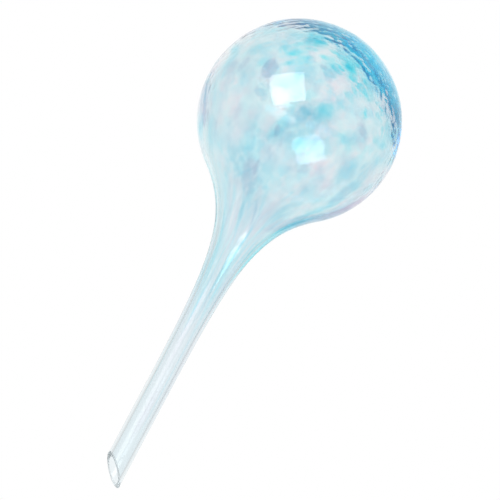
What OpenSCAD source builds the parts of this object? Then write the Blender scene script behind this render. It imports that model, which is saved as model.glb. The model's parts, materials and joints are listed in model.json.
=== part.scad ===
// Watering globe: a blown glass ball on a long hollow stem, with coloured glass chips fused to its skin.
// Millimetres. Z runs up along the axis, and the origin is under the lowest point of the cut tip.

/* [Overall] */
// Height from the lowest point of the tip to the crown
overall_h = 200; // [180:1:260]
// Diameter of the globe over the coloured chips
globe_d = 80; // [70:0.5:95]

/* [Glass] */
// Wall of the globe at its widest
wall_t = 2; // [1.6:0.1:3]
// Glass at the crown, where the ball was closed
crown_t = 4.8; // [2:0.1:9]
// Length over which the neck shrinks to a third of its flare
flare_l = 15.4; // [11:0.1:19]

/* [Stem] */
// Outer diameter of the stem
stem_d = 10; // [9:0.1:13]
// Bore of the stem
bore_d = 7.2; // [5:0.1:7.8]
// Straight part of the stem, from the tip up
straight_len = 50; // [25:1:70]
// Height of the oblique cut at the tip
bevel_h = 12.5; // [5:0.5:20]

/* [Coloured glass] */
// Thickness of a chip or streak on the clear wall
frit_t = 0.3; // [0.2:0.05:0.5]
// Chips on the globe
chip_count = 176; // [60:1:240]
// Largest chip radius, as a share of the distance between chips
chip_share = 0.46; // [0.25:0.01:0.47]
// How much longer chips are drawn at the foot of the globe
chip_draw = 0.5; // [0:0.05:0.6]
// Bare ring between the lowest chips and the neck
chip_gap = 5; // [4:0.5:9]
// Streaks around the neck
streak_count = 36; // [12:1:48]
// Streak width as a share of its sector
streak_share = 0.7; // [0.3:0.05:0.85]
// How far the longest streaks run down from the globe
streak_len = 66; // [30:1:90]

/* [Hidden] */

// Facets of a full turn, in the preview
$fn = 120;
// Steps of the neck's curve, and of the cavity's curve inside the globe
neck_steps = 16;
cavity_steps = 22;
// Turn between neighbouring chips, which spreads them evenly over a sphere
golden_turn = 137.508;
// Seeds of the chips' and streaks' sizes
chip_seed = 11;
streak_seed = 29;
// Smallest chip as a share of the largest, and how far a chip's corners are dented
chip_small = 0.62;
chip_dent = 0.22;
// Narrowest streak as a share of the widest
streak_small = 0.6;
// Shares of the streaks' length over which their ends are spread, at the stem and at the globe
foot_spread = 0.5;
head_spread = 0.2;
// Reach of a cutting shape past what it cuts
past = 1;

// Kinds of coloured glass
WHITE = 0;
SKY_BLUE = 1;
TURQUOISE = 2;
DEEP_BLUE = 3;
LAVENDER = 4;

clear_colour = [0.80, 0.92, 0.95, 0.45];
white_colour = [0.93, 0.96, 0.98];
sky_blue_colour = [0.56, 0.80, 0.93];
turquoise_colour = [0.38, 0.84, 0.92];
deep_blue_colour = [0.20, 0.58, 0.80];
lavender_colour = [0.76, 0.77, 0.88];

glass_r = globe_d / 2 - frit_t;
globe_z = overall_h - globe_d / 2;
stem_r = stem_d / 2;
bore_r = bore_d / 2;
stem_t = stem_r - bore_r;

// Angle from straight down at which the ball's slope equals that of the neck's curve
join_angle = halve(5, 85, 30);
join_r = glass_r * sin(join_angle);
join_z = globe_z - glass_r * cos(join_angle);
neck_h = join_z - straight_len;
// What is left of the flare at the straight stem, taken off so that the two meet
flare_left = exp(-neck_h / flare_l);

// Height range of the chips' centres, and the distance between neighbours
chip_low_z = join_z + chip_gap;
chip_high_z = globe_z + glass_r;
chip_pitch = sqrt(2 * PI * glass_r * (chip_high_z - chip_low_z) / chip_count);
chip_max_r = chip_share * chip_pitch;

// Positive where the ball is still wider than the neck's curve allows
function slope_gap(a) = glass_r * pow(sin(a), 2) - stem_r * sin(a) - flare_l * cos(a);

// The angle at which slope_gap is nought, by halving
function halve(low, high, left) =
    let (middle = (low + high) / 2)
    left == 0 ? middle : slope_gap(middle) > 0 ? halve(low, middle, left - 1) : halve(middle, high, left - 1);

// Share of the full flare at height z, from 0 at the stem to 1 at the globe
function flare_share(z) = (exp((z - join_z) / flare_l) - flare_left) / (1 - flare_left);
function neck_r(z) = stem_r + (join_r - stem_r) * flare_share(z);
function neck_slope(z) = (join_r - stem_r) * exp((z - join_z) / flare_l) / (flare_l * (1 - flare_left));
function neck_t(z) = stem_t + (wall_t - stem_t) * flare_share(z);

// Heights of the neck's rings, closer together where it curves most, from the stem up
function neck_z(i) = join_z - neck_h * pow(1 - i / neck_steps, 1.5);
neck_rings = [for (i = [0 : neck_steps]) neck_z(i)];

// A point inside the wall by its own thickness, square to the neck's surface
function neck_inside(z) =
    let (slope = neck_slope(z), depth = neck_t(z) / sqrt(1 + slope * slope))
    [neck_r(z) - depth, z + depth * slope];

// Wall of the globe at an angle from the crown, thicker over the top
function globe_t(a) = a < 90 ? wall_t + (crown_t - wall_t) * pow(cos(a), 2) : wall_t;
function globe_inside(a) = let (r = glass_r - globe_t(a)) [r * sin(a), globe_z + r * cos(a)];

// Outline of the vessel as if it were solid glass
module solid_outline() {
    intersection() {
        translate([0, globe_z])
            circle(r = glass_r);
        translate([0, join_z])
            square([globe_d, globe_d]);
    }
    polygon(concat([[0, 0], [stem_r, 0]], [for (z = neck_rings) [neck_r(z), z]], [[0, join_z]]));
}

// Outline of the water's space, open at the bottom
module cavity_outline() {
    last_angle = 180 - join_angle;
    polygon(concat(
        [[0, -past], [bore_r, -past], [bore_r, straight_len]],
        [for (i = [1 : neck_steps - 1]) neck_inside(neck_rings[i])],
        [for (i = [cavity_steps : -1 : 1]) globe_inside(last_angle * i / cavity_steps)],
        [[0, globe_z + glass_r - crown_t]]));
}

// The stretch of clear wall between two heights
module wall_stretch(low, high) {
    rotate_extrude()
        intersection() {
            difference() {
                solid_outline();
                cavity_outline();
            }
            translate([0, low])
                square([globe_d, high - low]);
        }
}

module bulb_glass() {
    color(clear_colour)
        wall_stretch(join_z, overall_h);
}

module neck_glass() {
    color(clear_colour)
        wall_stretch(straight_len, join_z);
}

// The oblique cut rises from nought at +X to bevel_h at -X
module stem_glass() {
    cut_angle = atan2(bevel_h, stem_d);
    cut_size = 3 * (stem_d + bevel_h);
    color(clear_colour)
        difference() {
            wall_stretch(0, straight_len);
            translate([stem_r, 0, 0])
                rotate([0, cut_angle, 0])
                    translate([-cut_size / 2, -cut_size / 2, -cut_size])
                        cube(cut_size);
        }
}

// Height of a chip's centre above the globe's, and its angle from the crown
function chip_height(i) = chip_high_z - globe_z - (chip_high_z - chip_low_z) * (i + 0.5) / chip_count;
function chip_angle(i) = acos(chip_height(i) / glass_r);
function chip_dice(i) = rands(0, 1, 10, chip_seed + i);

// A chip's kind of glass: strong colours are commoner near the crown
function chip_kind(i) =
    let (dice = chip_dice(i)[0], top = 1 - i / chip_count)
    dice < 0.05 ? LAVENDER
    : dice < 0.05 + 0.16 * top ? DEEP_BLUE
    : dice < 0.14 + 0.34 * top ? TURQUOISE
    : dice < 0.42 + 0.24 * top ? SKY_BLUE
    : WHITE;

// A chip is a rough five to seven sided flake, drawn out lengthwise on the lower half
function chip_outline(i) =
    let (
        dice = chip_dice(i),
        sides = 5 + floor(dice[1] * 2.99),
        size = chip_max_r * (chip_small + (1 - chip_small) * dice[2]),
        draw = 1 + chip_draw * max(0, -chip_height(i) / glass_r))
    [for (k = [0 : sides - 1])
        let (a = 360 * (k + 0.3 * dice[3]) / sides, r = size * (1 - chip_dent * dice[4 + k % 6]))
        [r * draw * cos(a), r * sin(a) / draw]];

// A prism that points from the globe's centre through a chip's place
module chip_prism(i) {
    prism_low = glass_r - 2 * frit_t - pow(chip_max_r, 2) / glass_r;
    rotate([0, chip_angle(i), i * golden_turn])
        translate([0, 0, prism_low])
            linear_extrude(glass_r + 2 * frit_t - prism_low)
                polygon(chip_outline(i));
}

// All chips of one kind: flakes of a thin shell that lies on the clear globe
module chips(kind) {
    translate([0, 0, globe_z])
        for (i = [0 : chip_count - 1])
            if (chip_kind(i) == kind)
                difference() {
                    intersection() {
                        sphere(r = glass_r + frit_t);
                        chip_prism(i);
                    }
                    sphere(r = glass_r);
                }
}

function streak_dice(i) = rands(0, 1, 4, streak_seed + i);

// Streaks of one kind: strips on the neck's outside, from ring to ring of its curve
module streaks(kind) {
    kinds = [WHITE, SKY_BLUE, TURQUOISE];
    sector = 360 / streak_count;
    low_ring = min([for (i = [0 : neck_steps]) if (neck_rings[i] >= join_z - streak_len) i]);
    steps = neck_steps - low_ring;
    for (i = [0 : streak_count - 1]) {
        dice = streak_dice(i);
        if (kinds[floor(dice[0] * 2.99)] == kind) {
            first = low_ring + floor(dice[1] * foot_spread * steps);
            last = neck_steps - floor(dice[2] * head_spread * steps);
            width = sector * streak_share * (streak_small + (1 - streak_small) * dice[3]);
            rings = [for (k = [first : last]) neck_rings[k]];
            rotate_extrude(angle = width, start = i * sector)
                polygon(concat(
                    [for (z = rings) [neck_r(z), z]],
                    [for (k = [last : -1 : first]) [neck_r(neck_rings[k]) + frit_t, neck_rings[k]]]));
        }
    }
}

module white_frit() {
    color(white_colour)
        chips(WHITE);
}

module sky_blue_frit() {
    color(sky_blue_colour)
        chips(SKY_BLUE);
}

module turquoise_frit() {
    color(turquoise_colour)
        chips(TURQUOISE);
}

module deep_blue_frit() {
    color(deep_blue_colour)
        chips(DEEP_BLUE);
}

module lavender_frit() {
    color(lavender_colour)
        chips(LAVENDER);
}

module white_streaks() {
    color(white_colour)
        streaks(WHITE);
}

module sky_blue_streaks() {
    color(sky_blue_colour)
        streaks(SKY_BLUE);
}

module turquoise_streaks() {
    color(turquoise_colour)
        streaks(TURQUOISE);
}

bulb_glass();
neck_glass();
stem_glass();
white_frit();
sky_blue_frit();
turquoise_frit();
deep_blue_frit();
lavender_frit();
white_streaks();
sky_blue_streaks();
turquoise_streaks();
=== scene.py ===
"""The looks of a hand-blown watering globe: a hollow glass ball on a long hollow stem.

One clear, faintly aqua wall of glass carries chips of coloured glass that were melted into it.
On the ball the chips are round flakes, and on the neck they are drawn out into long threads.
Lengths are in metres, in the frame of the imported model, and +Z runs from the tip to the crown.
"""

import json
import logging
import math
from dataclasses import dataclass
from enum import Enum

import bpy
import numpy as np
from bpy.types import Material, Node, NodeSocket, NodeTree, Object
from mathutils import Matrix, Vector


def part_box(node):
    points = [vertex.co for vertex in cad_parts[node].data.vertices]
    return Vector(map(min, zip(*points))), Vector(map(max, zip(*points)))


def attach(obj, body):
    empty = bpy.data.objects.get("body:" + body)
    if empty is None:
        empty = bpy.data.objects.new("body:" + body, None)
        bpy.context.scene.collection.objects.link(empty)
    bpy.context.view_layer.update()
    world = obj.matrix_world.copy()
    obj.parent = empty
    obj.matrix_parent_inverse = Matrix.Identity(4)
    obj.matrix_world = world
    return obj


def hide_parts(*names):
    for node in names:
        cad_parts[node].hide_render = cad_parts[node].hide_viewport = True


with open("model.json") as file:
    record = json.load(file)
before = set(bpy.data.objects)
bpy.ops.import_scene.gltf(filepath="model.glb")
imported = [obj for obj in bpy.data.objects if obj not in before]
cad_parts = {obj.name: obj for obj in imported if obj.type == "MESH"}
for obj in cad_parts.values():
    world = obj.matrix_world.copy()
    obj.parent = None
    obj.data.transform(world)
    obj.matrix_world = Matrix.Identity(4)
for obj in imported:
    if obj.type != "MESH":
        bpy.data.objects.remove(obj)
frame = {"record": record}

Pair = tuple[float, float]
Colour = tuple[float, float, float]
Faces = list[tuple[int, ...]]
Inputs = dict[str | int, object]

MM = 0.001
UP = np.array([0.0, 0.0, 1.0])
GOLDEN_TURN = math.pi * (3 - math.sqrt(5))
WHITE = (1.0, 1.0, 1.0, 1.0)
BODY = "root"
# The marks on a mesh: where a point lay before the glass was drawn out, how full its colour is, and
# whether it was ground matt.
FLOW = "flow"
MELT = "melt"
GROUND = "ground"
LOG = logging.getLogger("watering_globe")


class Lot(Enum):
    """The lots of glass, each with the record's material slot that it takes."""

    CLEAR = "clear_glass"
    WHITE = "white_glass"
    SKY_BLUE = "sky_blue_glass"
    TURQUOISE = "turquoise_glass"
    DEEP_BLUE = "deep_blue_glass"
    LAVENDER = "lavender_glass"

    def named(self, kind: str) -> str:
        """The name of a piece or node of the lot, such as its flakes or its frit."""
        return self.value.replace("glass", kind)


class Side(Enum):
    """The half of the ball that a listed flake lies on, seen from the camera."""

    FRONT = 1.0
    BACK = -1.0


def smooth_step(value: np.ndarray, low: float, high: float) -> np.ndarray:
    """Goes from 0 at low to 1 at high with a level start and end: 3 s squared less 2 s cubed."""
    share = np.clip((value - low) / (high - low), 0.0, 1.0)
    return share * share * (3.0 - 2.0 * share)


def about_axis(radius: np.ndarray, turn: np.ndarray, height: np.ndarray) -> np.ndarray:
    """Places at a radius and a turn about the axis, with x, y and z on the last axis."""
    return np.stack([radius * np.cos(turn), radius * np.sin(turn), height], axis=-1)


def cosine_bell(cosine: np.ndarray, reach: float) -> np.ndarray:
    """A round hump: the squared cosine of the angle off its middle, stretched to end at reach."""
    off = np.arccos(np.clip(cosine, -1.0, 1.0))
    return np.cos(np.clip(off / reach, 0.0, 1.0) * math.pi / 2) ** 2


def golden_shares(count: int) -> np.ndarray:
    """Shares from 0 to 1 that never fall into step: steps of the golden turn, less the whole part."""
    return np.arange(count) * GOLDEN_TURN % 1.0


def smooth_noise(points: np.ndarray, wave: float, seed: int, waves: int = 28) -> np.ndarray:
    """Soft lumps: the sum of plane waves with random directions, lengths and phases.

    Args:
        points: Places, with x, y and z on the last axis.
        wave: The usual length of a wave.
        seed: Picks the waves.
        waves: How many waves are summed.

    Returns:
        One number for each place, mostly from -1 to 1.
    """
    shortest, longest = 0.7, 1.5
    draw = np.random.default_rng(seed)
    ways = draw.normal(size=(waves, 3))
    ways /= np.linalg.norm(ways, axis=1, keepdims=True)
    lengths = wave * draw.uniform(shortest, longest, waves)
    phases = draw.uniform(0.0, math.tau, waves)
    swing = points @ (ways * (math.tau / lengths)[:, None]).T + phases
    return np.cos(swing).sum(axis=-1) / math.sqrt(waves)


@dataclass(frozen=True)
class Lumps:
    """Soft lumps of one size: their usual wave, how high they stand, and what picks them."""

    wave: float
    high: float
    seed: int

    def at(self, points: np.ndarray) -> np.ndarray:
        """How high the lumps stand at some places."""
        return self.high * smooth_noise(points, self.wave, self.seed)


@dataclass(frozen=True)
class View:
    """The camera's directions: right and up in the picture, and back from the object to the camera."""

    turn: float = math.radians(-33.0)
    roll: float = math.radians(28.0)

    @property
    def across(self) -> np.ndarray:
        """The level direction square to the sight line."""
        return np.array([math.cos(self.turn), math.sin(self.turn), 0.0])

    @property
    def back(self) -> np.ndarray:
        """From the object towards the camera."""
        return np.array([math.sin(self.turn), -math.cos(self.turn), 0.0])

    @property
    def right(self) -> np.ndarray:
        """Rightwards in the picture."""
        return math.cos(self.roll) * self.across + math.sin(self.roll) * UP

    @property
    def up(self) -> np.ndarray:
        """Upwards in the picture."""
        return math.cos(self.roll) * UP - math.sin(self.roll) * self.across

    @property
    def facing(self) -> float:
        """The turn about the axis of the side that faces the camera."""
        return self.turn - math.pi / 2


@dataclass
class GlassForm:
    """The blown form: where a spot of the glass lies, from its run down the outline and its turn.

    The outline starts at the crown. It follows the ball's circle, then an exponential flare
    down the neck, then the straight stem, whose end is cut at a slant.
    """

    ball_r: float
    ball_z: float
    join_z: float
    straight_z: float
    stem_r: float
    bore_r: float
    cut_rise: float = 12.5 * MM
    flare: float = 15.4 * MM
    lip: float = 0.5 * MM
    # How far the lumps, and the chips that fell by chance, are turned about the axis.
    pattern_turn: float = math.radians(-13.0)
    # The share of a short length that was there before the neck was drawn out: at the crown, the
    # equator, the join, a step below the join, and the start of the stem.
    undrawn: tuple[float, ...] = (1.0, 0.9, 0.38, 0.14, 0.07)
    undrawn_step: float = 40 * MM
    wall: float = 2.0 * MM
    thick_wall: float = 4.8 * MM
    thick_reach: float = math.radians(70.0)
    thick_lean: float = math.radians(21.0)
    side_bulge: float = 0.9 * MM
    side_reach: float = math.radians(34.0)
    swells: Lumps = Lumps(26 * MM, 0.05 * MM, 3)
    pimples: Lumps = Lumps(7 * MM, 0.008 * MM, 4)
    ridges: Lumps = Lumps(9 * MM, 0.012 * MM, 5)
    ridges_below: float = 20 * MM
    evened: float = 0.95
    evened_above: float = 10 * MM
    evened_below: float = 30 * MM
    inner_lumps: tuple[Lumps, ...] = (
        Lumps(3.0 * MM, 1.0, 8),
        Lumps(9.0 * MM, 1.0, 9),
        Lumps(1.7 * MM, 0.5, 10),
    )
    inner_high: float = 0.02 * MM
    crown_high: float = 0.03 * MM
    steps: int = 600
    view: View = View()

    def __post_init__(self) -> None:
        """Works out the outline's table: run, radius, height and normal, with a row for each step."""
        join_turn = math.pi - math.acos((self.ball_z - self.join_z) / self.ball_r)
        turns = np.linspace(0.0, join_turn, self.steps)
        ball = self.ball_r * np.stack([np.sin(turns), np.cos(turns)], axis=1) + [0.0, self.ball_z]
        heights = np.linspace(self.join_z, self.straight_z, self.steps)[1:]
        left = math.exp((self.straight_z - self.join_z) / self.flare)
        swell = (np.exp((heights - self.join_z) / self.flare) - left) / (1.0 - left)
        self.join_r = ball[-1, 0]
        neck = np.stack([self.stem_r + (self.join_r - self.stem_r) * swell, heights], axis=1)
        quarters = np.linspace(self.straight_z, 0.0, 5)[1:]
        stem = np.stack([np.full_like(quarters, self.stem_r), quarters], axis=1)
        outline = np.concatenate([ball, neck, stem])
        length = np.linalg.norm(np.diff(outline, axis=0), axis=1)
        self.runs = np.concatenate([[0.0], np.cumsum(length)])
        self.radii, self.heights = outline[:, 0], outline[:, 1]
        slope = np.gradient(outline, self.runs, axis=0)
        slope /= np.linalg.norm(slope, axis=1, keepdims=True)
        self.lean_out, self.lean_up = -slope[:, 1], slope[:, 0]
        self.join_run = self.run_at(self.join_z)
        self.equator_run = self.ball_r * math.pi / 2
        self.straight_run = self.run_at(self.straight_z)
        self.tip_run = self.runs[-1]
        self._undraw()

    def _undraw(self) -> None:
        """Works out each run's height and radius before the neck was drawn out.

        The height is the crown's less the sum of the steps down to the run, each times the share
        of it that was there. Below the join the radius stays the join's.
        """
        below_join = self.join_run + self.undrawn_step
        marks = [0.0, self.equator_run, self.join_run, below_join, self.straight_run]
        keeps = np.interp(self.runs, marks, self.undrawn)
        fall = np.diff(self.heights, prepend=self.heights[0]) * keeps
        below = self.runs > self.join_run
        fall[below] = -np.diff(self.runs, prepend=0.0)[below] * keeps[below]
        self.flow_heights = self.heights[0] + np.cumsum(fall)
        self.flow_radii = np.where(below, self.join_r, self.radii)

    def run_at(self, height: float) -> float:
        """The run at a height, which falls steadily along the outline."""
        return float(np.interp(-height, -self.heights, self.runs))

    def radius_at(self, run: np.ndarray) -> np.ndarray:
        """The outline's radius at a run."""
        return np.interp(run, self.runs, self.radii)

    def direction(self, run: np.ndarray, turn: np.ndarray) -> np.ndarray:
        """The direction from the ball's centre to a spot of the ball."""
        return about_axis(np.sin(run / self.ball_r), turn, np.cos(run / self.ball_r))

    def run_and_turn(self, ways: np.ndarray) -> tuple[np.ndarray, np.ndarray]:
        """The run and the turn of the spot of the ball that lies in a direction from its centre."""
        run = self.ball_r * np.arccos(np.clip(ways[..., 2], -1.0, 1.0))
        return run, np.arctan2(ways[..., 1], ways[..., 0])

    def thick_way(self) -> np.ndarray:
        """The direction from the ball's centre to the thickest glass, off to one side of the crown."""
        return math.cos(self.thick_lean) * UP + math.sin(self.thick_lean) * self.view.across

    def flow(self, run: np.ndarray, turn: np.ndarray) -> np.ndarray:
        """Where a spot lay before the neck was drawn out, so that a pattern on it is drawn out too.

        Args:
            run: Lengths down the outline.
            turn: Angles about the axis.

        Returns:
            Places on the undrawn form, with x, y and z on the last axis.
        """
        radius = np.interp(run, self.runs, self.flow_radii)
        height = np.interp(run, self.runs, self.flow_heights)
        return about_axis(radius, turn - self.pattern_turn, height)

    def relief(self, run: np.ndarray, turn: np.ndarray) -> np.ndarray:
        """How far the hand-made surface stands off the true outline.

        Soft lumps cover the whole form. Ridges come in where the glass was drawn out, and both
        are nearly evened out down the stem.

        Args:
            run: Lengths down the outline.
            turn: Angles about the axis.

        Returns:
            Heights above the outline, in metres.
        """
        spot = self.flow(run, turn)
        join = self.join_run
        drawn = smooth_step(run, self.equator_run, join + self.ridges_below)
        fade = 1.0 - self.evened * smooth_step(run, join - self.evened_above, join + self.evened_below)
        lumps = self.swells.at(spot) + self.pimples.at(spot)
        return (lumps + drawn * self.ridges.at(spot)) * fade

    def thickness(self, run: np.ndarray, turn: np.ndarray) -> np.ndarray:
        """The wall: an even one with two cosine bells of thicker glass, and the bore's wall below.

        One bell is at the crown and the other at the ball's left side. The ball's inner face has
        lumps, which are higher at the crown.

        Args:
            run: Lengths down the outline.
            turn: Angles about the axis.

        Returns:
            The thickness of the glass, in metres.
        """
        way = self.direction(run, turn)
        bell = cosine_bell(way @ self.thick_way(), self.thick_reach)
        bulge = cosine_bell(way @ -self.view.right, self.side_reach)
        spot = self.flow(run, turn)
        lumps = sum(lump.at(spot) for lump in self.inner_lumps)
        ball = self.wall + (self.thick_wall - self.wall) * bell + self.side_bulge * bulge
        ball += (self.inner_high + self.crown_high * bell) * lumps
        low = self.stem_r - self.bore_r
        height = np.interp(run, self.runs, self.heights)
        share = np.clip((height - self.straight_z) / (self.join_z - self.straight_z), 0.0, 1.0)
        neck = low + (self.wall - low) * share
        on_ball = 1.0 - smooth_step(run, self.equator_run, self.join_run)
        return on_ball * ball + (1.0 - on_ball) * neck

    def place(self, run: np.ndarray, turn: np.ndarray, depth: np.ndarray) -> np.ndarray:
        """Where a spot of the glass lies, square in from the outer surface by a depth.

        Down the stem the heights are squeezed in even measure, so that the lowest ones lie on the
        slanting plane of the cut.

        Args:
            run: Lengths down the outline.
            turn: Angles about the axis.
            depth: Depths below the outer surface.

        Returns:
            Places, with x, y and z on the last axis.
        """
        rise = self.relief(run, turn) - depth
        radius = self.radius_at(run) + rise * np.interp(run, self.runs, self.lean_out)
        base = np.interp(run, self.runs, self.heights)
        height = base + rise * np.interp(run, self.runs, self.lean_up)
        x, y = radius * np.cos(turn), radius * np.sin(turn)
        down = np.clip(1.0 - base / self.straight_z, 0.0, 1.0)
        cut = self.lip + (self.cut_rise - self.lip) * (1.0 - x / self.stem_r) / 2
        height = np.where(down > 0.0, self.straight_z - down * (self.straight_z - cut), height)
        return np.stack([x, y, height], axis=-1)


def close_ends(grid: np.ndarray) -> np.ndarray:
    """Takes one value from each end row of a grid, where the points meet in a pole, and all between."""
    rings = grid[..., 1:-1, :].reshape(*grid.shape[:-2], -1)
    return np.concatenate([grid[..., :1, 0], rings, grid[..., -1:, 0]], axis=-1)


def tube_faces(rings: int, around: int) -> Faces:
    """The faces of rings that close on themselves, with a pole before the first and after the last.

    Args:
        rings: How many rings there are between the poles.
        around: How many points each ring has.

    Returns:
        Tuples of point numbers: the first pole is 0, and the last is after all the rings.
    """
    here = np.arange(around)
    after = (here + 1) % around
    starts = 1 + around * np.arange(rings - 1)[:, None]
    quads = np.stack([starts + here, starts + around + here, starts + around + after, starts + after], -1)
    last = 1 + around * (rings - 1)
    first_fan = np.stack([np.zeros_like(here), 1 + here, 1 + after], -1)
    last_fan = np.stack([last + after, last + here, np.full_like(here, last + around)], -1)
    return [*map(tuple, quads.reshape(-1, 4)), *map(tuple, first_fan), *map(tuple, last_fan)]


def repeat_faces(faces: Faces, points_each: int, copies: int) -> Faces:
    """The faces of many copies of one small form, whose points follow each other."""
    return [tuple(spot + points_each * copy for spot in face) for copy in range(copies) for face in faces]


def add_mesh(
    name: str, points: np.ndarray, faces: Faces, flow: np.ndarray, marks: dict[str, np.ndarray]
) -> Object:
    """Puts points and faces into a smooth mesh object at the origin, with attributes for its glass.

    Args:
        name: The piece's name.
        points: Places, with x, y and z on the last axis.
        faces: Tuples of point numbers, anticlockwise from outside.
        flow: Where each point lay before the neck was drawn out.
        marks: Numbers from 0 to 1 for each point: how full the melted colour is, and how matt it is.

    Returns:
        The new object, linked to the scene.
    """
    mesh = bpy.data.meshes.new(name)
    mesh.from_pydata(points.reshape(-1, 3).tolist(), [], faces)
    mesh.shade_smooth()
    spots = mesh.attributes.new(FLOW, "FLOAT_VECTOR", "POINT")
    spots.data.foreach_set("vector", flow.astype(np.float32).ravel())
    for label, values in marks.items():
        mark = mesh.attributes.new(label, "FLOAT", "POINT")
        mark.data.foreach_set("value", values.astype(np.float32).ravel())
    mesh.update()
    piece = bpy.data.objects.new(name, mesh)
    bpy.context.scene.collection.objects.link(piece)
    return piece


@dataclass
class GlassVessel:
    """The one wall of the vessel: outside from crown to tip, over the cut lip, and back up inside."""

    form: GlassForm
    around: int = 216
    ball_step: float = 0.85 * MM
    inside_step: float = 0.72 * MM
    neck_step: float = 1.5 * MM
    stem_step: float = 2.6 * MM
    last_step: float = 0.2 * MM
    fine_below_join: float = 8 * MM
    lip_rings: int = 6

    def ring_runs(self, ball_step: float) -> np.ndarray:
        """The runs of the rings from crown to tip, closer on the ball than on the neck and stem.

        Args:
            ball_step: The usual distance between rings on the ball.

        Returns:
            The runs, with the crown's own first.
        """
        form = self.form
        fine_end = form.join_run + self.fine_below_join
        last_start = form.tip_run - self.last_step
        spans = (
            (0.0, fine_end, ball_step),
            (fine_end, form.straight_run, self.neck_step),
            (form.straight_run, last_start, self.stem_step),
            (last_start, form.tip_run, self.last_step),
        )
        parts = [np.linspace(low, high, math.ceil((high - low) / step) + 1)[1:] for low, high, step in spans]
        return np.concatenate([[0.0], *parts])

    def build(self) -> Object:
        """Builds the wall as one closed surface: rings carried round the axis, and a pole at each end.

        A ring's swing is 0 outside, goes to half a turn over the lip and stays there inside. The
        ring lies (1 - cos swing) / 2 of the way through the wall, and stands out from the cut by
        the lip times sin swing.
        """
        form = self.form
        out_run = self.ring_runs(self.ball_step)
        in_run = self.ring_runs(self.inside_step)[::-1]
        lip_run = np.full(self.lip_rings, form.tip_run)
        over_lip = np.linspace(0.0, math.pi, self.lip_rings + 2)[1:-1]
        rings = np.concatenate([out_run, lip_run, in_run])[:, None]
        swings = np.concatenate([0.0 * out_run, over_lip, 0.0 * in_run + math.pi])[:, None]
        turns = np.arange(self.around) * math.tau / self.around
        run, swing, turn = map(close_ends, np.broadcast_arrays(rings, swings, turns))
        square = np.array([-form.cut_rise, 0.0, -2.0 * form.stem_r])
        square /= np.linalg.norm(square)
        points = form.place(run, turn, (1.0 - np.cos(swing)) / 2 * form.thickness(run, turn))
        points += form.lip * np.sin(swing)[:, None] * square
        marks = {
            MELT: smooth_step(points[:, 2], form.straight_z, form.ball_z),
            GROUND: (swing > 0.0) & (swing < math.pi),
        }
        faces = tube_faces(len(rings) - 2, self.around)
        return add_mesh("clear_wall", points, faces, form.flow(run, turn), marks)


@dataclass(frozen=True)
class Spot:
    """A listed flake on the face of the ball that the camera sees, or on the far face.

    Its place is measured from the ball's centre, rightwards and upwards in the picture, and its
    lean clockwise from upwards. Its melt is how full its colour is.
    """

    right: float
    up: float
    long: float
    wide: float
    lean: float
    melt: float
    side: Side


def hand_spots(side: Side, *rows: tuple[float, ...]) -> tuple[Spot, ...]:
    """A flake for each row: right, up, long and wide in millimetres, lean in degrees, and melt."""
    return tuple(
        Spot(right * MM, up * MM, long * MM, wide * MM, math.radians(lean), melt, side)
        for right, up, long, wide, lean, melt in rows
    )


@dataclass(frozen=True)
class Arc:
    """A listed row of flakes along an arc about the ball's centre in the picture.

    Angles are in degrees, anticlockwise from rightwards, and lengths are in millimetres. The arc
    bows outwards as the square of the angle off its middle, and each flake strays outwards and
    is longer by a golden share.
    """

    first: float
    last: float
    step: float
    reach: float
    stray: float
    long: float
    wide: float
    melt: float
    longer: float = 0.0
    bow: float = 0.0
    bow_middle: float = 35.0
    bow_half: float = 40.0

    def spots(self) -> tuple[Spot, ...]:
        """The flakes, each with its long way along the arc."""
        angles = np.radians(np.arange(self.first, self.last, -self.step))
        share = golden_shares(len(angles))
        off = (angles - math.radians(self.bow_middle)) / math.radians(self.bow_half)
        reaches = (self.reach + self.bow * off**2 + self.stray * share) * MM
        longs = (self.long + self.longer * share[::-1]) * MM
        return tuple(
            Spot(
                reach * math.cos(angle), reach * math.sin(angle), long, self.wide * MM, -angle,
                self.melt, Side.FRONT,
            )
            for angle, reach, long in zip(angles, reaches, longs)
        )


WHITE_SPOTS = hand_spots(
    Side.FRONT,
    (-21, -21, 26, 20, 28, 1),
    (-10, -8, 26, 20, 28, 1),
    (4, -4, 24, 24, 0, 1),
)
TURQUOISE_SPOTS = hand_spots(
    Side.FRONT,
    (6.3, 0, 22, 11, 82, 0.5),
    (8.5, 2.8, 22, 8, 84, 0.4),
    (-8.5, -4.5, 22, 8, 36, 0.45),
    (2, -8, 20, 15, 60, 0.3),
    (-17, -9, 24, 17, 20, 0.32),
    (-24, -16, 26, 13, 28, 0.38),
    (-8, -24, 24, 15, 28, 0.24),
    (4.4, 29, 11, 7, 70, 0.6),
    (-2, 24.5, 8, 5, 60, 0.5),
    (19, 19, 10, 6, 140, 0.6),
    (24.6, 2, 5, 2.4, 10, 0.6),
)
VIVID_ARC = Arc(first=104, last=14, step=6, reach=21, stray=9, long=6.5, wide=3, melt=0.6)
LAVENDER_SPOTS = hand_spots(
    Side.FRONT,
    (-11.8, 18.5, 10.5, 7, 12, 1),
    (-21.7, 20.5, 8, 4, 40, 0.45),
    (-36.8, 0.8, 9.5, 4, 5, 1),
    (8.6, 18.8, 3.6, 2.6, 120, 0.6),
    (-9, -5.4, 6, 2.6, 10, 0.7),
    (-17, -19, 9, 2.2, 30, 0.5),
    (8, 1.5, 26, 12, 82, 0.35),
    (-19.5, -22.5, 22, 8, 25, 0.4),
    (-13, -7, 18, 9, 20, 0.2),
    (6.7, -38.4, 44, 14, 80, 0.8),
    (-4, 38.8, 32, 12, 90, 0.25),
)
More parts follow.
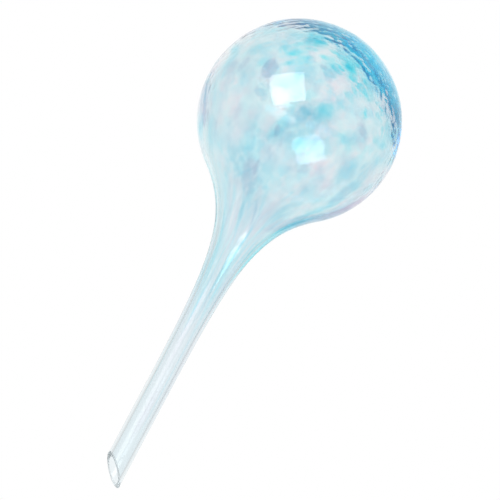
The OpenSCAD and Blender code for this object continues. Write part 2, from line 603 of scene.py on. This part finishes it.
FAR_LAVENDER_SPOTS = hand_spots(
    Side.BACK,
    (27.5, -3, 8, 3.4, -25, 0.6),
    (-16, 14, 9, 5, -40, 0.5),
    (14, 22, 10, 6, 20, 0.5),
    (3, -18, 8, 4, 60, 0.4),
)
CRESCENT_SLIVERS = Arc(
    first=74, last=-8, step=2.8, reach=32.8, stray=1.4, long=2.8, wide=1.9, melt=1, longer=3.4, bow=3
)


@dataclass
class Flakes:
    """Round flakes of one lot of glass, melted into the wall of the ball.

    A share of the sites gets a flake by chance: crown_share at the thick glass, going to
    side_share opposite, where the colour is also only far_melt as full. The listed flakes
    come after those. The cover is the clear glass over a flake.
    """

    form: GlassForm
    lot: Lot
    sites: int
    width: Pair
    thick: Pair
    cover: float
    crown_share: float
    side_share: float
    seed: int
    spots: tuple[Spot, ...] = ()
    spread: float = math.radians(128.0)
    jitter: float = 0.9
    drawn_between: Pair = (0.4, 0.75)
    stretch: float = 0.35
    melt: Pair = (0.5, 1.0)
    far_melt: float = 1.0
    crisp: float = 1.2
    dome: float = 1.5
    dent: float = 0.2
    spot_dent: float = 0.25
    dent_waves: tuple[int, ...] = (2, 3, 4)
    around: int = 10
    rings: Pair = (0.4, 0.75)
    kind: str = "flakes"
    node: str = "frit"

    def lens(self) -> tuple[np.ndarray, np.ndarray, np.ndarray]:
        """A flat-topped lens: a pole, rings out to the rim, rings back in below, and a pole.

        Returns:
            How far out each point is as a share, its angle, and 1 where it is on the underside.
        """
        rings = np.array([0.0, *self.rings, 1.0, *self.rings[::-1], 0.0])[:, None]
        ring = np.arange(self.around) * math.tau / self.around
        out, angle = map(close_ends, np.broadcast_arrays(rings, ring))
        under = (np.arange(len(out)) > (len(self.rings) + 1) * self.around).astype(float)
        return out, angle, under

    def nearness(self, ways: np.ndarray) -> np.ndarray:
        """How near directions are to the thick glass: 1 there, and 0 opposite."""
        return (1.0 + ways @ self.form.thick_way()) / 2

    def scattered(self, draw: np.random.Generator) -> tuple[np.ndarray, np.ndarray, np.ndarray]:
        """The flakes that fell by chance: a golden spiral of sites, moved a little and thinned.

        Each lies at a random lean on the upper ball, and comes to point down the ball, and to be
        twice as long, where the glass was drawn out below.

        Args:
            draw: The source of chance.

        Returns:
            Directions from the ball's centre, each flake's long way, and its two half widths.
        """
        number = np.arange(self.sites)
        height = 1.0 - (2.0 * number + 1.0) / self.sites
        ways = about_axis(np.sqrt(1.0 - height**2), number * GOLDEN_TURN, height)
        ways += draw.normal(scale=self.jitter / math.sqrt(self.sites), size=ways.shape)
        ways /= np.linalg.norm(ways, axis=1, keepdims=True)
        cosine, sine = math.cos(self.form.pattern_turn), math.sin(self.form.pattern_turn)
        ways[:, :2] = ways[:, :2] @ np.array([[cosine, sine], [-sine, cosine]])
        chance = self.side_share + (self.crown_share - self.side_share) * self.nearness(ways) ** 2
        ways = ways[(draw.random(self.sites) < chance) & (np.arccos(ways[:, 2]) < self.spread)]
        count = len(ways)
        down = np.arccos(np.clip(ways[:, 2], -1.0, 1.0)) / math.pi
        drawn = smooth_step(down, *self.drawn_between)
        lean = draw.uniform(-1.0, 1.0, count) * (math.pi / 2) * (1.0 - drawn) ** 2
        south = ways * ways[:, 2:] - UP
        south /= np.linalg.norm(south, axis=1, keepdims=True)
        long_way = np.cos(lean)[:, None] * south + np.sin(lean)[:, None] * np.cross(ways, south)
        half = draw.uniform(*self.width, count) / 2
        longer = 1.0 + self.stretch * draw.random(count) + drawn
        return ways, long_way, np.stack([half * longer, half], axis=1)

    def placed(self) -> tuple[np.ndarray, np.ndarray, np.ndarray]:
        """The listed flakes.

        Returns:
            Directions from the ball's centre, each flake's long way, and its two half widths.
        """
        view, radius = self.form.view, self.form.ball_r
        ways, long_ways, halves = [], [], []
        for spot in self.spots:
            near = spot.side.value * math.sqrt(radius**2 - spot.right**2 - spot.up**2)
            way = (spot.right * view.right + spot.up * view.up + near * view.back) / radius
            lean = math.cos(spot.lean) * view.up + math.sin(spot.lean) * view.right
            lean = lean - (lean @ way) * way
            ways.append(way)
            long_ways.append(lean / np.linalg.norm(lean))
            halves.append((spot.long / 2, spot.wide / 2))
        return np.array(ways), np.array(long_ways), np.array(halves)

    def build(self) -> Object:
        """Builds the flakes as one mesh of closed lenses, laid along the curve of the ball.

        A lens's outline is a circle with a few cosine waves round it, stretched to the flake's
        half widths. Its underside is a dome: (1 - out squared) to a power, times its thickness.
        """
        form = self.form
        draw = np.random.default_rng(self.seed)
        ways, long_way, half = self.scattered(draw)
        if self.spots:
            ways, long_way, half = map(np.concatenate, zip((ways, long_way, half), self.placed()))
        count = len(ways)
        out, angle, under = self.lens()
        by_chance = np.arange(count) < count - len(self.spots)
        dent = self.dent * np.where(by_chance, draw.random(count), self.spot_dent)[:, None]
        outline = np.ones((count, len(angle)))
        for wave in self.dent_waves:
            phase = draw.uniform(0.0, math.tau, count)[:, None]
            outline += dent * np.cos(wave * angle + phase)
        along = (half[:, :1] * out * outline * np.cos(angle))[..., None]
        side = (half[:, 1:] * out * outline * np.sin(angle))[..., None]
        offset = along * long_way[:, None] + side * np.cross(ways, long_way)[:, None]
        bend = np.linalg.norm(offset, axis=-1, keepdims=True) / form.ball_r
        sight = np.cos(bend) * ways[:, None] + np.sinc(bend / math.pi) * offset / form.ball_r
        run, turn = form.run_and_turn(sight)
        swell = (1.0 - out**2) ** self.dome
        bulk = draw.uniform(*self.thick, count)[:, None]
        points = form.place(run, turn, self.cover + bulk * swell * under)
        full = self.far_melt + (1.0 - self.far_melt) * self.nearness(ways) ** 3
        full = full * draw.uniform(*self.melt, count)
        full[~by_chance] = [spot.melt for spot in self.spots]
        melt = full[:, None] * np.clip(self.crisp * swell, 0.0, 1.0)
        faces = repeat_faces(tube_faces(2 * len(self.rings) + 1, self.around), len(angle), count)
        return add_mesh(self.lot.named(self.kind), points, faces, form.flow(run, turn), {MELT: melt})


@dataclass(frozen=True)
class Ribbon:
    """A listed broad thread or line.

    Its turn about the axis is measured from the side that faces the camera, and its run is that
    of its middle. Its melt is how full its colour is.
    """

    turn: float
    run: float
    long: float
    wide: float
    melt: float


def hand_ribbons(*rows: tuple[float, ...]) -> tuple[Ribbon, ...]:
    """A ribbon for each row: turn in radians, run, long and wide in millimetres, and melt."""
    return tuple(Ribbon(turn, run * MM, long * MM, wide * MM, melt) for turn, run, long, wide, melt in rows)


RIGHT_EDGE = math.pi / 2
NECK_LINE_TURNS = (-1.0, -0.72, -0.3, 0.28, 0.5, 0.8, 1.1)
WHITE_RIBBONS = hand_ribbons(
    (0.0, 102, 56, 18, 1),
    (-0.3, 113, 44, 16, 1),
    (0.3, 112, 44, 16, 1),
    (-0.55, 98, 50, 16, 1),
    (0.5, 100, 50, 16, 1),
    (RIGHT_EDGE, 104, 56, 24, 1),
    (RIGHT_EDGE - 0.2, 84, 50, 24, 1),
    (0.1, 186, 60, 9, 0.6),
    (0.1, 206, 36, 4, 0.9),
    (1.25, 186, 76, 4, 0.9),
)
TURQUOISE_RIBBONS = hand_ribbons(
    (-0.1, 102, 46, 20, 0.4),
    (0.55, 99, 44, 18, 0.3),
    (-0.7, 101, 40, 16, 0.22),
    (RIGHT_EDGE, 101, 44, 24, 0.5),
    (RIGHT_EDGE + 0.45, 96, 30, 9, 1),
    (RIGHT_EDGE - 0.4, 108, 34, 8, 1),
    (RIGHT_EDGE + 0.1, 124, 40, 5, 1),
    (RIGHT_EDGE + math.pi, 112, 40, 5, 1),
)
NECK_LINES = hand_ribbons(
    *((turn, 132 + 9 * (number % 3), 46, 0.9, 0.5) for number, turn in enumerate(NECK_LINE_TURNS))
)
STEM_LINES = hand_ribbons(
    (1.2, 186, 76, 3.5, 0.25),
    (-1.2, 164, 54, 3, 0.25),
    (0.5, 186, 70, 1, 0.4),
    (-0.75, 184, 70, 1, 0.3),
)


@dataclass
class Threads:
    """Threads of one lot of glass, drawn out along the neck from the under side of the ball.

    The turns are steps of the golden angle, and the listed ribbons take the place of the first
    threads. Others stray a little from their step and drift about the axis along their length.
    The cover is the clear glass over a thread.
    """

    form: GlassForm
    lot: Lot
    count: int
    width: Pair
    length: Pair
    thick: Pair
    cover: float
    seed: int
    ribbons: tuple[Ribbon, ...]
    melt: float = 0.5
    start: float = 88.0 * MM
    end: float = 170.0 * MM
    stray_turn: float = 0.6
    drift_turn: float = 0.12
    shortest: float = 0.35
    full_below_join: float = 30 * MM
    tip_gap: float = 2 * MM
    stations: int = 22
    kind: str = "threads"
    node: str = "streaks"

    def build(self) -> Object:
        """Builds the threads as one mesh of closed strips.

        A strip's section is a triangle with a flat top, and its half width and its depth swell
        along it as the square root of 1 - along squared, with along going from -1 to 1.
        """
        form = self.form
        draw = np.random.default_rng(self.seed)
        middle = draw.uniform(self.start, self.end, self.count)
        start_turn = np.arange(self.count) * GOLDEN_TURN + draw.uniform(0.0, self.stray_turn, self.count)
        start_turn += form.pattern_turn
        drawn = smooth_step(middle, form.equator_run, form.join_run + self.full_below_join)
        shorter = self.shortest + (1.0 - self.shortest) * drawn
        half_long = draw.uniform(*self.length, self.count) / 2 * shorter
        half_wide = draw.uniform(*self.width, self.count) / 2
        bulk = draw.uniform(*self.thick, self.count)
        drift = draw.normal(scale=self.drift_turn, size=self.count)
        full = np.full(self.count, self.melt)
        for number, ribbon in enumerate(self.ribbons):
            middle[number], start_turn[number] = ribbon.run, form.view.facing + ribbon.turn
            half_long[number], half_wide[number] = ribbon.long / 2, ribbon.wide / 2
            drift[number], full[number] = 0.0, ribbon.melt
        each = (middle, half_long, half_wide / form.radius_at(middle), start_turn, drift, bulk, full)
        middle, half_long, half_wide, start_turn, drift, bulk, full = (row[:, None, None] for row in each)
        along = np.linspace(-1.0, 1.0, self.stations + 2)[:, None]
        swell = np.sqrt(1.0 - along**2)
        side = np.array([-1.0, 0.0, 1.0, 0.0])
        under = np.array([0.0, 0.0, 0.0, 1.0])
        run = close_ends(middle + half_long * along + 0.0 * side)
        run = np.minimum(run, form.tip_run - self.tip_gap)
        turn = close_ends(start_turn + drift * along + half_wide * swell * side)
        depth = close_ends(self.cover + bulk * swell * under)
        melt = close_ends(full * swell**2 * (1.0 - np.abs(side)))
        points = form.place(run, turn, depth)
        faces = repeat_faces(tube_faces(self.stations, len(side)), run.shape[1], self.count)
        return add_mesh(self.lot.named(self.kind), points, faces, form.flow(run, turn), {MELT: melt})


@dataclass
class DeepSwirlAndPaintedRim:
    """The deep blue glass inside the thick crown: a long leaf that follows the edge of the ball.

    The leaf lies in the rim band as the camera sees it, where the glass mirrors the darker
    room, so its colour is partly the crown's own and partly a painted reflection of that room.
    """

    form: GlassForm
    lot: Lot = Lot.DEEP_BLUE
    reach: float = math.radians(74.0)
    half_wide: float = math.radians(17.5)
    forward: float = math.radians(7.0)
    lean: float = math.radians(3.0)
    taper: float = 0.35
    skin: float = 0.75 * MM
    thinnest: float = 0.1 * MM
    ragged: Lumps = Lumps(4.0 * MM, 0.25, 17)
    ragged_least: float = 0.3
    crisp: float = 2.2
    along_steps: int = 120
    around: int = 40
    kind: str = "swirl"
    node: str = "frit"

    def build(self) -> Object:
        """Builds the leaf: an oval section between the wall's faces, carried along an arc.

        The section swells along the arc as the square root of 1 - share squared, with the share
        going from -1 to 1, and tapers a little more towards both ends.
        """
        form, back = self.form, self.form.view.back
        start = form.thick_way()
        # The arc runs square to the camera's sight line along the ball's outline, so the leaf's colour
        # paints the darker room's reflection in the rim band.
        level = np.cross(back, start)
        swing = np.linspace(-self.reach, self.reach, self.along_steps + 2)[:, None]
        share = swing / self.reach
        swell = np.sqrt(1.0 - share**2) * (1.0 - self.taper * share**2)
        around = np.arange(self.around) * math.tau / self.around
        cross = (self.forward + self.half_wide * swell * np.cos(around))[..., None]
        spine = (swing + self.lean)[..., None]
        sight = np.cos(cross) * (np.cos(spine) * start + np.sin(spine) * level) + np.sin(cross) * back
        run, turn = form.run_and_turn(sight)
        wall = form.thickness(run, turn)
        half = np.maximum(wall - 2.0 * self.skin, self.thinnest) / 2 * swell
        ragged = np.clip(1.0 + self.ragged.at(sight * form.ball_r), self.ragged_least, 1.0)
        depth = wall / 2 + half * np.sin(around) * ragged
        melt = np.clip(self.crisp * swell * (1.0 - np.abs(np.cos(around))), 0.0, 1.0)
        run, turn, depth, melt = map(close_ends, (run, turn, depth, melt))
        points = form.place(run, turn, depth)
        faces = tube_faces(self.along_steps, self.around)
        return add_mesh(self.lot.named(self.kind), points, faces, form.flow(run, turn), {MELT: melt})


def feed(tree: NodeTree, node: Node, inputs: Inputs) -> None:
    """Gives inputs of a node their values and links.

    Args:
        tree: The tree that holds the node.
        node: The node.
        inputs: A value, or another node's output, for each input by its name or number.
    """
    for label, given in inputs.items():
        if isinstance(given, NodeSocket):
            tree.links.new(given, node.inputs[label])
        else:
            node.inputs[label].default_value = given


def add_node(
    tree: NodeTree, kind: str, output: str, inputs: Inputs | None = None, **settings: object
) -> NodeSocket:
    """Adds a shader node to a tree.

    Args:
        tree: The tree.
        kind: The node's type, without the words that all shader nodes start with.
        output: The output that is wanted.
        inputs: What its inputs are fed with.
        settings: The node's own settings.

    Returns:
        The new node's output.
    """
    node = tree.nodes.new("ShaderNode" + kind)
    for label, setting in settings.items():
        setattr(node, label, setting)
    feed(tree, node, inputs or {})
    return node.outputs[output]


def spread(value: NodeSocket, low: float, high: float, start: float, end: float) -> Inputs:
    """What feeds a Map Range node, so that it goes from start to end as the value goes from low to high."""
    return {"Value": value, "From Min": low, "From Max": high, "To Min": start, "To Max": end}


def drawn_grain_group() -> NodeTree:
    """The shader group for soft streaky grain, which follows the glass as it was drawn out.

    Returns:
        A group that takes a scale and puts out a grain value from 0 to 1.
    """
    group = bpy.data.node_groups.new("Drawn Grain", "ShaderNodeTree")
    group.interface.new_socket("Scale", in_out="INPUT", socket_type="NodeSocketFloat")
    group.interface.new_socket("Grain", in_out="OUTPUT", socket_type="NodeSocketFloat")
    scale = group.nodes.new("NodeGroupInput").outputs["Scale"]
    spot = add_node(group, "Attribute", "Vector", attribute_name=FLOW)
    look = {"Vector": spot, "Scale": scale, "Detail": 3.0, "Distortion": 0.4}
    feed(group, group.nodes.new("NodeGroupOutput"), {"Grain": add_node(group, "TexNoise", "Fac", look)})
    return group


def add_grain(tree: NodeTree, grain: NodeTree, scale: float) -> NodeSocket:
    """Places the grain group in a material's tree, with its scale in waves a metre."""
    return add_node(tree, "Group", "Grain", {"Scale": scale}, node_tree=grain)


def glass_material(lot: Lot, bend: float) -> Material:
    """Makes a clear and smooth glass, which each finish then colours.

    Args:
        lot: The lot of glass, whose slot gives the material its name.
        bend: The index of refraction, which is 1 for glass inside the same glass.

    Returns:
        The new material.
    """
    made = bpy.data.materials.new(lot.value)
    made.use_nodes = True
    shader = made.node_tree.nodes["Principled BSDF"]
    feed(made.node_tree, shader, {"Transmission Weight": 1.0, "IOR": bend, "Roughness": 0.0})
    return made


@dataclass(frozen=True)
class WallGlass:
    """The clear wall: soft clouds of tint that melted off the chips, and a faint body colour."""

    lot: Lot = Lot.CLEAR
    bend: float = 1.5
    plain: Colour = (0.89, 0.945, 0.965)
    clouds: tuple[tuple[float, Colour], ...] = (
        (0.30, (0.92, 0.90, 0.93)),
        (0.44, (0.88, 0.94, 0.96)),
        (0.56, (0.80, 0.93, 0.955)),
        (0.68, (0.70, 0.87, 0.92)),
    )
    cloud_scale: float = 75.0
    ripple_scale: float = 300.0
    ripple_high: float = 0.05 * MM
    absorb_mm: Colour = (0.002, 0.001, 0.001)

    def material(self, grain: NodeTree) -> Material:
        """Makes the material, which is matt where the glass is ground.

        Args:
            grain: The group for soft streaky grain.

        Returns:
            The new material.
        """
        made = glass_material(self.lot, self.bend)
        tree = made.node_tree
        melt = add_node(tree, "Attribute", "Fac", attribute_name=MELT)
        ground = add_node(tree, "Attribute", "Fac", attribute_name=GROUND)
        cloud = add_node(tree, "ValToRGB", "Color", {"Fac": add_grain(tree, grain, self.cloud_scale)})
        ramp = cloud.node.color_ramp
        ramp.interpolation = "EASE"
        points = ramp.elements
        while len(points) < len(self.clouds):
            points.new(0.5)
        for point, (place, colour) in zip(points, self.clouds):
            point.position, point.color = place, (*colour, 1.0)
        tints = {"Factor": melt, "A": (*self.plain, 1.0), "B": cloud}
        tint = add_node(tree, "Mix", "Result", tints, data_type="RGBA")
        ripple = add_grain(tree, grain, self.ripple_scale)
        swell = add_node(tree, "Math", "Value", {0: ripple, 1: melt}, operation="MULTIPLY")
        bump = add_node(tree, "Bump", "Normal", {"Distance": self.ripple_high, "Height": swell})
        most = max(self.absorb_mm)
        left = (*[1.0 - part / most for part in self.absorb_mm], 1.0)
        body = add_node(tree, "VolumeAbsorption", "Volume", {"Density": most / MM, "Color": left})
        feed(tree, tree.nodes["Principled BSDF"], {"Base Color": tint, "Roughness": ground, "Normal": bump})
        feed(tree, tree.nodes["Material Output"], {"Volume": body})
        return made


@dataclass(frozen=True)
class MeltedGlass:
    """A lot of coloured glass: clear where it thins out, and coloured where it is thick."""

    lot: Lot
    deep: Colour
    least: float = 0.45
    patches: Pair = (0.35, 0.6)
    grain_scale: float = 320.0

    def material(self, grain: NodeTree) -> Material:
        """Makes the material.

        Args:
            grain: The group for soft streaky grain.

        Returns:
            The new material.
        """
        made = glass_material(self.lot, 1.0)
        tree = made.node_tree
        melt = add_node(tree, "Attribute", "Fac", attribute_name=MELT)
        streaks = add_grain(tree, grain, self.grain_scale)
        patchy = add_node(tree, "MapRange", "Result", spread(streaks, *self.patches, self.least, 1.0))
        share = add_node(tree, "Math", "Value", {0: patchy, 1: melt}, operation="MULTIPLY")
        tints = {"Factor": share, "A": WHITE, "B": (*self.deep, 1.0)}
        tint = add_node(tree, "Mix", "Result", tints, data_type="RGBA")
        feed(tree, tree.nodes["Principled BSDF"], {"Base Color": tint})
        return made


FINISHES = (
    WallGlass(),
    MeltedGlass(Lot.WHITE, (0.97, 0.92, 0.95)),
    MeltedGlass(Lot.SKY_BLUE, (0.60, 0.925, 0.99)),
    MeltedGlass(Lot.TURQUOISE, (0.12, 0.91, 0.975)),
    MeltedGlass(Lot.DEEP_BLUE, (0.725, 0.925, 0.99)),
    MeltedGlass(Lot.LAVENDER, (0.78, 0.77, 0.86), least=0.85),
)


@dataclass
class Studio:
    """The plain studio: a long lens, one soft lamp, an even white surround and a pale floor."""

    view: View
    ball_centre: Vector
    aim_height: float = 106.74 * MM
    aim_across: float = 6.6 * MM
    field_wide: float = 194.55 * MM
    lens_mm: float = 200.0
    sensor_mm: float = 36.0
    clip: Pair = (0.01, 50.0)
    lamp_off: float = math.radians(36.5)
    lamp_way: Pair = (-0.366, 0.93)
    lamp_distance: float = 0.5
    lamp_size: float = 0.31
    lamp_glow: float = 4.5
    lamp_roll: float = math.radians(12.0)
    window_turn: float = math.radians(-22.0)
    window_drop: float = math.radians(-5.0)
    window_reach: float = math.radians(24.0)
    window_core: float = 0.3
    window_squash: float = 4.0
    window_glow: float = 1.8
    bounces: int = 400
    fill: float = 0.85
    front: float = 0.68
    white_reach: Pair = (0.42, 0.97)
    floor_z: float = -0.1
    floor_r: float = 0.6
    floor_core: float = 0.5
    floor_rings: int = 12
    floor_around: int = 64
    floor_colour: Colour = (0.86, 0.86, 0.86)
    floor_rough: float = 0.9

    def add_camera(self) -> None:
        """Places the camera so that the field across the picture is as wide as the photograph's."""
        view = self.view
        camera = bpy.data.cameras.new("camera")
        camera.lens, camera.sensor_width = self.lens_mm, self.sensor_mm
        camera.clip_start, camera.clip_end = self.clip
        distance = self.field_wide * self.lens_mm / self.sensor_mm
        aim = self.aim_height * UP + self.aim_across * view.across
        holder = bpy.data.objects.new("camera", camera)
        turn = Matrix([view.right, view.up, view.back]).transposed().to_4x4()
        holder.matrix_world = Matrix.Translation(Vector(aim + distance * view.back)) @ turn
        bpy.context.scene.collection.objects.link(holder)
        bpy.context.scene.camera = holder

    def add_lamp(self) -> None:
        """Hangs the square softbox up to the left of the camera, turned to face the ball.

        Its glow is how bright its face is, where 1 is white.
        """
        view = self.view
        way = self.lamp_way[0] * view.right + self.lamp_way[1] * view.up
        back = Vector(math.cos(self.lamp_off) * view.back + math.sin(self.lamp_off) * way)
        lamp = bpy.data.lights.new("softbox", "AREA")
        lamp.size = self.lamp_size
        lamp.energy = self.lamp_glow * math.pi * self.lamp_size**2
        holder = bpy.data.objects.new("softbox", lamp)
        side = Vector(view.up).cross(back).normalized()
        turn = Matrix([side, back.cross(side), back]).transposed().to_4x4()
        place = Matrix.Translation(self.ball_centre + self.lamp_distance * back)
        holder.matrix_world = place @ turn @ Matrix.Rotation(self.lamp_roll, 4, "Z")
        bpy.context.scene.collection.objects.link(holder)

    def room_light(self, tree: NodeTree) -> NodeSocket:
        """The white wall behind, the greyer room before it, and a small wide window in the room.

        The window is round in a space that is stretched upwards, and its light fades out from its
        core.

        Args:
            tree: The surround's tree.

        Returns:
            How bright the surround is in each direction.
        """
        view = self.view
        way = add_node(tree, "TexCoord", "Generated")
        behind = add_node(tree, "VectorMath", "Value", {0: way, 1: -view.back}, operation="DOT_PRODUCT")
        room = add_node(tree, "MapRange", "Result", spread(behind, *self.white_reach, self.front, 1.0))
        stretch = (1.0, 1.0, self.window_squash)
        taller = add_node(tree, "VectorMath", "Vector", {0: way, 1: stretch}, operation="MULTIPLY")
        unit = add_node(tree, "VectorMath", "Vector", {0: taller}, operation="NORMALIZE")
        centre = math.cos(self.window_turn) * view.back + math.sin(self.window_turn) * view.across
        centre += math.tan(self.window_drop) * self.window_squash * UP
        centre /= np.linalg.norm(centre)
        near = add_node(tree, "VectorMath", "Value", {0: unit, 1: centre}, operation="DOT_PRODUCT")
        rim, core = math.cos(self.window_reach), math.cos(self.window_core * self.window_reach)
        pane = spread(near, rim, core, 0.0, self.window_glow)
        window = add_node(tree, "MapRange", "Result", pane, interpolation_type="SMOOTHSTEP")
        return add_node(tree, "Math", "Value", {0: room, 1: window}, operation="ADD")

    def add_world(self) -> None:
        """Makes the surround, which is plain white to the eye.

        The wall and the room show in reflections and through the glass, and the fill lights matt
        things.
        """
        world = bpy.data.worlds.new("surround")
        bpy.context.scene.world = world
        world.use_nodes = True
        tree = world.node_tree
        camera = add_node(tree, "LightPath", "Is Camera Ray")
        rays = camera.node.outputs
        bent = {0: rays["Is Glossy Ray"], 1: rays["Is Transmission Ray"]}
        mirrored = add_node(tree, "Math", "Value", bent, operation="MAXIMUM")
        lights = {"Factor": mirrored, "A": self.fill, "B": self.room_light(tree)}
        glass = add_node(tree, "Mix", "Result", lights)
        seen = add_node(tree, "Math", "Value", {0: camera, 1: glass}, operation="MAXIMUM")
        feed(tree, tree.nodes["Background"], {"Color": WHITE, "Strength": seen})

    def add_floor(self) -> None:
        """Lays a pale round floor below the tip, which fades out into the white surround."""
        around, rings = self.floor_around, self.floor_rings
        turn = np.arange(around) * math.tau / around
        radii = np.linspace(0.0, self.floor_r, rings + 1)[1:, None]
        level = np.full((rings, around), self.floor_z)
        points = np.concatenate([[self.floor_z * UP], about_axis(radii, turn, level).reshape(-1, 3)])
        fan = [face[::-1] for face in tube_faces(rings, around)[:-around]]
        mesh = bpy.data.meshes.new("floor")
        mesh.from_pydata(points.tolist(), [], fan)
        floor = bpy.data.objects.new("floor", mesh)
        bpy.context.scene.collection.objects.link(floor)
        mesh.materials.append(self.floor_material())

    def floor_material(self) -> Material:
        """Makes the floor's matt pale paint, with a soft edge that thins out to nothing.

        Returns:
            The new material.
        """
        made = bpy.data.materials.new("pale_floor")
        made.use_nodes = True
        tree = made.node_tree
        spot = add_node(tree, "TexCoord", "Object")
        reach = add_node(tree, "VectorMath", "Value", {0: spot}, operation="LENGTH")
        fade = spread(reach, self.floor_core * self.floor_r, self.floor_r, 1.0, 0.0)
        edge = add_node(tree, "MapRange", "Result", fade, interpolation_type="SMOOTHSTEP")
        paint = {"Base Color": (*self.floor_colour, 1.0), "Roughness": self.floor_rough, "Alpha": edge}
        feed(tree, tree.nodes["Principled BSDF"], paint)
        return made

    def set_up(self) -> None:
        """Sets up the camera, the lamp, the surround, the floor and the plain view transform."""
        self.add_camera()
        self.add_lamp()
        self.add_world()
        self.add_floor()
        scene = bpy.context.scene
        scene.view_settings.view_transform = "Standard"
        scene.cycles.max_bounces = self.bounces
        scene.cycles.transmission_bounces = self.bounces
        scene.cycles.glossy_bounces = self.bounces


def form_from_frame() -> GlassForm:
    """Reads the form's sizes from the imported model: its boxes and its two mounts.

    Returns:
        The blown form, with the coloured glass melted flush into its surface.
    """
    chips_rise = 0.2 * MM
    bulb_low, bulb_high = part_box("bulb_glass")
    neck_low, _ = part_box("neck_glass")
    ball_r = (bulb_high.x - bulb_low.x) / 2
    sizes = {mount["name"]: mount["dims"]["r_mm"] * MM for mount in frame["record"]["mounts"]}
    return GlassForm(
        ball_r=ball_r + chips_rise,
        ball_z=bulb_high.z - ball_r,
        join_z=bulb_low.z,
        straight_z=neck_low.z,
        stem_r=sizes["stem_outside"],
        bore_r=sizes["stem_bore"],
    )


def coloured_glass(form: GlassForm) -> tuple[Flakes | Threads | DeepSwirlAndPaintedRim, ...]:
    """The coloured glass: flakes on the ball, threads along the neck, and the swirl in the crown, whose
    colour at the rim is partly a painted reflection of the darker room.

    Args:
        form: The blown form that it was melted into.

    Returns:
        What builds each piece, in order.
    """
    return (
        Flakes(
            form, Lot.WHITE, sites=240, width=(6 * MM, 11 * MM), thick=(0.4 * MM, 0.7 * MM),
            cover=0.1 * MM, crown_share=0.6, side_share=0.85, seed=21, spots=WHITE_SPOTS,
        ),
        Flakes(
            form, Lot.SKY_BLUE, sites=220, width=(6 * MM, 12 * MM), thick=(0.3 * MM, 0.6 * MM),
            cover=0.25 * MM, crown_share=0.85, side_share=0.6, seed=22, far_melt=0.5,
        ),
        Flakes(
            form, Lot.TURQUOISE, sites=320, width=(5 * MM, 10 * MM), thick=(0.3 * MM, 0.7 * MM),
            cover=0.4 * MM, crown_share=0.75, side_share=0.05, seed=23,
            spots=TURQUOISE_SPOTS + VIVID_ARC.spots(), far_melt=0.1,
        ),
        Flakes(
            form, Lot.LAVENDER, sites=60, width=(4 * MM, 7 * MM), thick=(0.4 * MM, 0.7 * MM),
            cover=0.15 * MM, crown_share=0.0, side_share=0.0, seed=24,
            spots=LAVENDER_SPOTS + FAR_LAVENDER_SPOTS + CRESCENT_SLIVERS.spots(), crisp=3.0,
        ),
        Threads(
            form, Lot.WHITE, count=80, width=(0.8 * MM, 3.2 * MM), length=(20 * MM, 60 * MM),
            thick=(0.3 * MM, 0.5 * MM), cover=0.1 * MM, seed=31, ribbons=WHITE_RIBBONS,
        ),
        Threads(
            form, Lot.SKY_BLUE, count=70, width=(1.2 * MM, 4.0 * MM), length=(20 * MM, 64 * MM),
            thick=(0.2 * MM, 0.45 * MM), cover=0.2 * MM, seed=32, ribbons=NECK_LINES + STEM_LINES,
            melt=0.32, end=156 * MM,
        ),
        Threads(
            form, Lot.TURQUOISE, count=50, width=(1.2 * MM, 3.4 * MM), length=(14 * MM, 50 * MM),
            thick=(0.2 * MM, 0.4 * MM), cover=0.3 * MM, seed=33, ribbons=TURQUOISE_RIBBONS,
            melt=0.2, end=145 * MM,
        ),
        DeepSwirlAndPaintedRim(form),
    )


def dress(piece: Object, material: Material, nodes: list[str]) -> None:
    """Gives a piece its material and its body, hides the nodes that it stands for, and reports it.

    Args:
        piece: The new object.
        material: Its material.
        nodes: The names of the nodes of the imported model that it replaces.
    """
    piece.data.materials.append(material)
    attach(piece, BODY)
    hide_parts(*nodes)
    LOG.info("%s: %d faces, stands for %s", piece.name, len(piece.data.polygons), ", ".join(nodes))


def main() -> None:
    """Builds the vessel, its coloured glass and the studio, in that order."""
    logging.basicConfig(level=logging.INFO)
    form = form_from_frame()
    grain = drawn_grain_group()
    made = {finish.lot: finish.material(grain) for finish in FINISHES}
    vessel = GlassVessel(form).build()
    dress(vessel, made[Lot.CLEAR], ["bulb_glass", "neck_glass", "stem_glass"])
    for chips in coloured_glass(form):
        dress(chips.build(), made[chips.lot], [chips.lot.named(chips.node)])
    centre = Vector((0.0, 0.0, form.ball_z))
    Studio(form.view, centre).set_up()


if __name__ == "__main__":
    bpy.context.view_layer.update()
    main()
